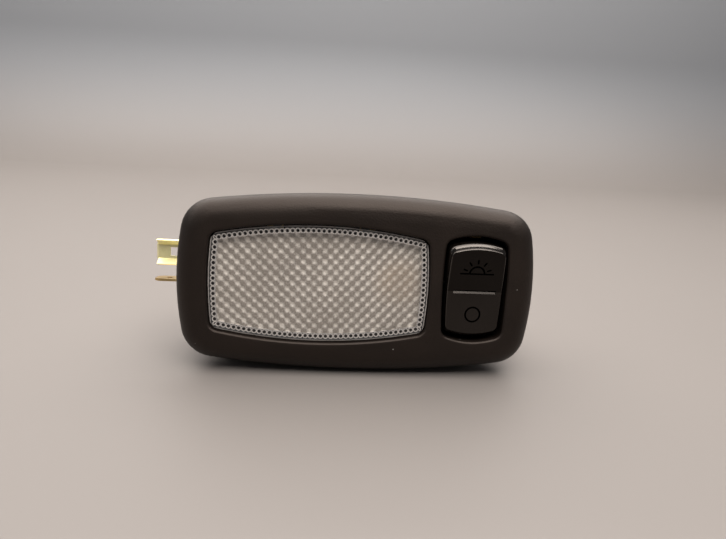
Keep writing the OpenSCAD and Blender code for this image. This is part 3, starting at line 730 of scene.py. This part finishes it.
@dataclass
class LensCover(Moulding):
    """The lens; its finishes are clear plastic, the prisms' painted light and shade, pale opaque flute
    walls as a painted highlight of the light caught in the clear flutes, and the front over them with its
    painted flute shade and highlights.
    """

    merge: bool = False
    outline: LensOutline = LensOutline()
    front: float = -9.4
    front_edge: float = 0.7
    root: float = -8.0
    back: float = -4.6
    flutes: tuple[float, float] = (1.2, 2.9)
    foot: tuple[float, float] = (1.3, 2.24)
    prisms_in: float = 2.26
    tip: float = 0.45
    tips_in: float = 2.3
    tips_high: float = 0.7
    fillet: float = 0.42

    def shape(self, shape: bmesh.types.BMesh) -> None:
        """Flattens the prisms' tips and fills the corner between flutes and plate.

        Args:
            shape: the merged solid.
        """
        def in_foot(vertex: bmesh.types.BMVert) -> bool:
            """Says whether a corner lies at the foot of the flutes."""
            x, y, z = vertex.co / MM
            return abs(y - self.root) < 0.02 and self.foot[0] < self.outline.depth(x, z) < self.foot[1]

        def on_tip(vertex: bmesh.types.BMVert) -> bool:
            """Says whether a corner is the tip of a prism."""
            x, y, z = vertex.co / MM
            return (y > self.root + self.tips_high and self.outline.depth(x, z) > self.tips_in
                    and len(vertex.link_edges) == 4)

        feet = [e for e in shape.edges if len(e.link_faces) == 2 and all(in_foot(v) for v in e.verts)
                and any(abs(f.normal.y) < 0.1 for f in e.link_faces)
                and any(abs(f.normal.y) > 0.9 for f in e.link_faces)]
        self.round_over(shape, feet, self.fillet, 2)
        bmesh.ops.bevel(shape, geom=[v for v in shape.verts if on_tip(v)], offset=self.tip * MM, segments=1,
                        profile=0.5, affect="VERTICES", material=-1, clamp_overlap=True)

    def paint(self, shape: bmesh.types.BMesh) -> None:
        """Picks out the front, the prisms and the flutes.

        Args:
            shape: the finished solid.
        """
        for face in shape.faces:
            x, y, z = face.calc_center_median() / MM
            inward = self.outline.depth(x, z)
            if face.normal.y < -0.3 and y < self.front + self.front_edge:
                face.material_index = 3
            elif (inward > self.prisms_in and self.root - 0.25 < y < self.root + 1.0
                  and face.normal.y > 0.3):
                face.material_index = 1
            # Painted highlight: the flute walls take the pale opaque finish.
            elif (self.flutes[0] < inward < self.flutes[1] and self.root - 0.1 < y < self.back - 0.05
                  and abs(face.normal.y) < 0.95):
                face.material_index = 2
        for edge in shape.edges:
            if all(face.material_index == 1 for face in edge.link_faces):
                edge.smooth = True


@dataclass(frozen=True)
class SoftBox:
    """One rectangular lamp of the studio; millimetres and watts."""

    name: str
    at: tuple[float, float, float]
    aim: tuple[float, float, float]
    width: float
    height: float
    power: float
    colour: Colour

    def build(self) -> None:
        """Makes the lamp and turns it to its aim."""
        light = bpy.data.lights.new(self.name, "AREA")
        light.shape = "RECTANGLE"
        light.size, light.size_y = self.width * MM, self.height * MM
        light.energy = self.power
        light.color = self.colour
        lamp = bpy.data.objects.new(self.name, light)
        lamp.location = Vector(self.at) * MM
        lamp.rotation_euler = (Vector(self.aim) - Vector(self.at)).to_track_quat("-Z", "Y").to_euler()
        bpy.context.scene.collection.objects.link(lamp)


@dataclass
class Studio:
    """Floor with a curved back, lamps and world round the resting lamp."""

    lean_deg: float = 8.81
    rest_z: float = -29.25
    half_width: float = 900.0
    front: float = -900.0
    back: float = 620.0
    wall: float = 700.0
    curve: float = 160.0
    floor_colour: Colour = (0.188, 0.171, 0.160)
    wall_colour: Colour = (0.220, 0.230, 0.246)
    sky_colour: Colour = (0.80, 0.81, 0.84)
    sky_strength: float = 0.16
    boxes: tuple[SoftBox, ...] = (
        SoftBox("ceiling", (-40, 330, 600), (-40, 300, 0), 1500, 1200, 21.0, (1.0, 0.94, 0.89)),
        SoftBox("rear", (-20, 560, 480), (0, 0, 0), 1000, 200, 4.5, (1.0, 0.93, 0.87)),
        SoftBox("front", (90, -360, 480), (0, 0, 0), 520, 300, 3.6, (1.0, 0.95, 0.90)),
        SoftBox("left", (-520, -140, 260), (0, 0, 0), 260, 300, 0.2, (0.95, 0.97, 1.0)))

    def build(self) -> None:
        """Makes the floor, the sky and the lamps."""
        self.make_floor()
        self.make_world()
        for box in self.boxes:
            box.build()

    def make_floor(self) -> None:
        """Makes the floor plane that the lamp leans on, curved up at the back."""
        shape = bmesh.new()
        corners = [shape.verts.new((x * MM, y * MM, 0.0))
                   for x, y in ((-self.half_width, self.front), (self.half_width, self.front),
                                (self.half_width, self.back), (-self.half_width, self.back))]
        shape.faces.new(corners)
        far = [e for e in shape.edges if all(v.co.y > 0 for v in e.verts)]
        raised = bmesh.ops.extrude_edge_only(shape, edges=far)["geom"]
        bmesh.ops.translate(shape, vec=(0.0, 0.0, self.wall * MM),
                            verts=[v for v in raised if isinstance(v, bmesh.types.BMVert)])
        bmesh.ops.bevel(shape, geom=far, offset=self.curve * MM, segments=16, profile=0.5,
                        affect="EDGES", material=-1)
        bmesh.ops.recalc_face_normals(shape, faces=shape.faces)
        lean = Matrix.Rotation(math.radians(self.lean_deg), 4, "X")
        down = Matrix.Translation((0, 0, self.rest_z * MM))
        bmesh.ops.transform(shape, matrix=down @ lean, verts=shape.verts)
        for face in shape.faces:
            face.smooth = True
        mesh = bpy.data.meshes.new("studio_floor")
        shape.to_mesh(mesh)
        shape.free()
        paint = StudioPaint("studio_paint", self.floor_colour, self.wall_colour)
        mesh.materials.append(paint.make())
        floor = bpy.data.objects.new("studio_floor", mesh)
        bpy.context.scene.collection.objects.link(floor)

    def make_world(self) -> None:
        """Makes a soft even sky."""
        world = bpy.data.worlds.new("studio_sky")
        world.use_nodes = True
        sky = world.node_tree.nodes["Background"]
        sky.inputs["Color"].default_value = (*self.sky_colour, 1.0)
        sky.inputs["Strength"].default_value = self.sky_strength
        bpy.context.scene.world = world


@dataclass
class Viewpoint:
    """Camera at the photograph's place, with the lamp's tilt to it."""

    pitch_deg: float = 8.55
    yaw_deg: float = 4.43
    roll_deg: float = -2.05
    shift_mm: tuple[float, float, float] = (-1.2, -5.2, -176.6)
    lens_plane_y: float = -9.4
    focal_mm: float = 27.02

    def build(self) -> None:
        """Makes the camera and gives it to the scene."""
        turn = (Matrix.Rotation(math.radians(self.roll_deg), 3, "Z")
                @ Matrix.Rotation(math.radians(self.yaw_deg), 3, "Y")
                @ Matrix.Rotation(math.radians(self.pitch_deg), 3, "X"))
        to_frame = Matrix(((1, 0, 0), (0, 0, -1), (0, 1, 0)))
        place = to_frame @ (turn.transposed() @ -Vector(self.shift_mm)) + Vector((0, self.lens_plane_y, 0))
        axes = to_frame @ turn.transposed()
        data = bpy.data.cameras.new("camera")
        data.lens = self.focal_mm
        data.sensor_width = 36.0
        data.clip_start, data.clip_end = 0.01, 10.0
        camera = bpy.data.objects.new("camera", data)
        camera.matrix_world = Matrix.Translation(place * MM) @ axes.to_4x4()
        bpy.context.scene.collection.objects.link(camera)
        bpy.context.scene.camera = camera


@dataclass
class Finishes:
    """Every finish of the lamp, made once."""

    frame: bpy.types.Material = field(default_factory=lambda: GrainedPlastic(
        "frame_plastic", (0.0034, 0.0019, 0.0013), (0.0060, 0.0035, 0.0024), 0.52, 2600.0, 0.07, 0.42,
        (1.0, 0.84, 0.75), 0.6).make())
    rocker: bpy.types.Material = field(default_factory=lambda: GrainedPlastic(
        "rocker_plastic", (0.0030, 0.0023, 0.0019), (0.0045, 0.0035, 0.0029), 0.16, 3200.0, 0.004, 0.85,
        (1.0, 0.91, 0.84)).make())
    # Darkest, least glossy finish: painted shade in the engraved marks and on the groove's upper lip.
    rocker_marks_painted_shade: bpy.types.Material = field(default_factory=lambda: GrainedPlastic(
        "rocker_marks_painted_shade", (0.0010, 0.0008, 0.0006), (0.0020, 0.0015, 0.0012), 0.5, 3200.0, 0.004,
        0.04).make())
    rocker_face: bpy.types.Material = field(default_factory=lambda: GrainedPlastic(
        "rocker_face", (0.0030, 0.0022, 0.0018), (0.0050, 0.0038, 0.0032), 0.22, 3200.0, 0.006, 0.38,
        (1.0, 0.90, 0.83)).make())
    # A duller copy of the face's finish: painted shade on the upper half.
    rocker_upper_painted_shade: bpy.types.Material = field(default_factory=lambda: GrainedPlastic(
        "rocker_upper_painted_shade", (0.0030, 0.0022, 0.0018), (0.0045, 0.0034, 0.0028), 0.32, 3200.0, 0.006, 0.16,
        (1.0, 0.90, 0.83)).make())
    housing: bpy.types.Material = field(default_factory=lambda: GrainedPlastic(
        "housing_plastic", (0.250, 0.243, 0.232), (0.285, 0.278, 0.266), 0.42, 1400.0, 0.02, 0.5,
        (1.0, 1.0, 1.0), 0.3).make())
    lens: bpy.types.Material = field(default_factory=lambda: ClearPlastic(
        "lens_plastic", (0.50, 0.50, 0.51)).make())
    # The lens's prisms: painted highlight colour on the tips, painted shade colour between them.
    prisms: bpy.types.Material = field(default_factory=lambda: PrismSheet(
        "lens_prisms_painted_light", (0.86, 0.80, 0.73), (0.24, 0.21, 0.18)).make())
    # The lens's front: painted shade in the flutes, painted highlights round them and along the rim.
    lens_front: bpy.types.Material = field(default_factory=lambda: FlutedRim(
        "lens_front", (0.50, 0.50, 0.51), (0.62, 0.575, 0.54)).make())
    # Pale opaque finish of the clear lens's flute walls: a painted highlight for the light caught in them.
    flutes: bpy.types.Material = field(default_factory=lambda: GrainedPlastic(
        "lens_flutes_painted_highlight", (0.62, 0.58, 0.55), (0.75, 0.71, 0.68), 0.3, 1500.0, 0.01).make())
    reflector: bpy.types.Material = field(default_factory=lambda: SheetMetal(
        "reflector_sheet", (0.86, 0.86, 0.85), (0.78, 0.77, 0.75), 0.34).make())
    brass: bpy.types.Material = field(default_factory=lambda: SheetMetal(
        "strip_brass", (0.83, 0.62, 0.28), (0.62, 0.42, 0.17), 0.30).make())
    plating: bpy.types.Material = field(default_factory=lambda: SheetMetal(
        "clip_plating", (0.97, 0.90, 0.52), (0.88, 0.80, 0.42), 0.42, 220.0,
        (1.0, 18.0, 18.0), 0.6).make())
    steel: bpy.types.Material = field(default_factory=lambda: SheetMetal(
        "spring_steel", (0.60, 0.60, 0.61), (0.45, 0.44, 0.43), 0.3).make())
    tinned: bpy.types.Material = field(default_factory=lambda: SheetMetal(
        "cap_metal", (0.74, 0.73, 0.70), (0.58, 0.56, 0.52), 0.28).make())
    slider: bpy.types.Material = field(default_factory=lambda: GrainedPlastic(
        "slider_plastic", (0.74, 0.71, 0.60), (0.80, 0.77, 0.67), 0.35, 1200.0, 0.006).make())
    glass: bpy.types.Material = field(default_factory=lambda: BulbGlass("bulb_glass").make())

    def dress(self, nodes: Mapping[str, bpy.types.Object]) -> None:
        """Gives each CAD node its finish.

        Args:
            nodes: the CAD nodes by name.
        """
        of_node = {
            "bezel": self.frame, "lens": self.lens, "housing": self.housing, "reflector": self.reflector,
            "bulb_glass": self.glass, "bulb_cap_left": self.tinned, "bulb_cap_right": self.tinned,
            "filament": self.steel, "feed_strip": self.brass, "lamp_strip": self.brass,
            "earth_strip": self.brass, "earth_clip": self.plating, "clip_rivet": self.tinned,
            "rocker": self.rocker, "contact_carriage": self.slider, "contact_spring": self.steel,
            "bridge_contact": self.brass, "switch_base": self.slider, "detent_spring": self.steel,
        }
        for name, node in nodes.items():
            node.data.materials.clear()
            node.data.materials.append(of_node[name])


def main() -> None:
    """Builds the camera, the studio and the pieces in order."""
    logging.basicConfig(level=logging.INFO, format="%(message)s")
    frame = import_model()
    packed = PackedLamp(frame["nodes"], {part["node"]: part["material_slot"]
                                         for part in frame["record"]["subparts"]})
    bpy.context.scene.view_settings.view_transform = "Standard"
    Viewpoint().build()
    Studio().build()
    finishes = Finishes()
    finishes.dress(packed.nodes)
    Moulding(packed, "bezel", Body.LAMP, (finishes.frame,)).build()
    Moulding(packed, "housing", Body.LAMP, (finishes.housing,)).build()
    LensCover(packed, "lens", Body.LAMP,
              (finishes.lens, finishes.prisms, finishes.flutes, finishes.lens_front)).build()
    RockerCap(packed, "rocker", Body.ROCKER,
              (finishes.rocker, finishes.rocker_upper_painted_shade, finishes.rocker_face, finishes.rocker_marks_painted_shade)).build()


if __name__ == "__main__":
    main()
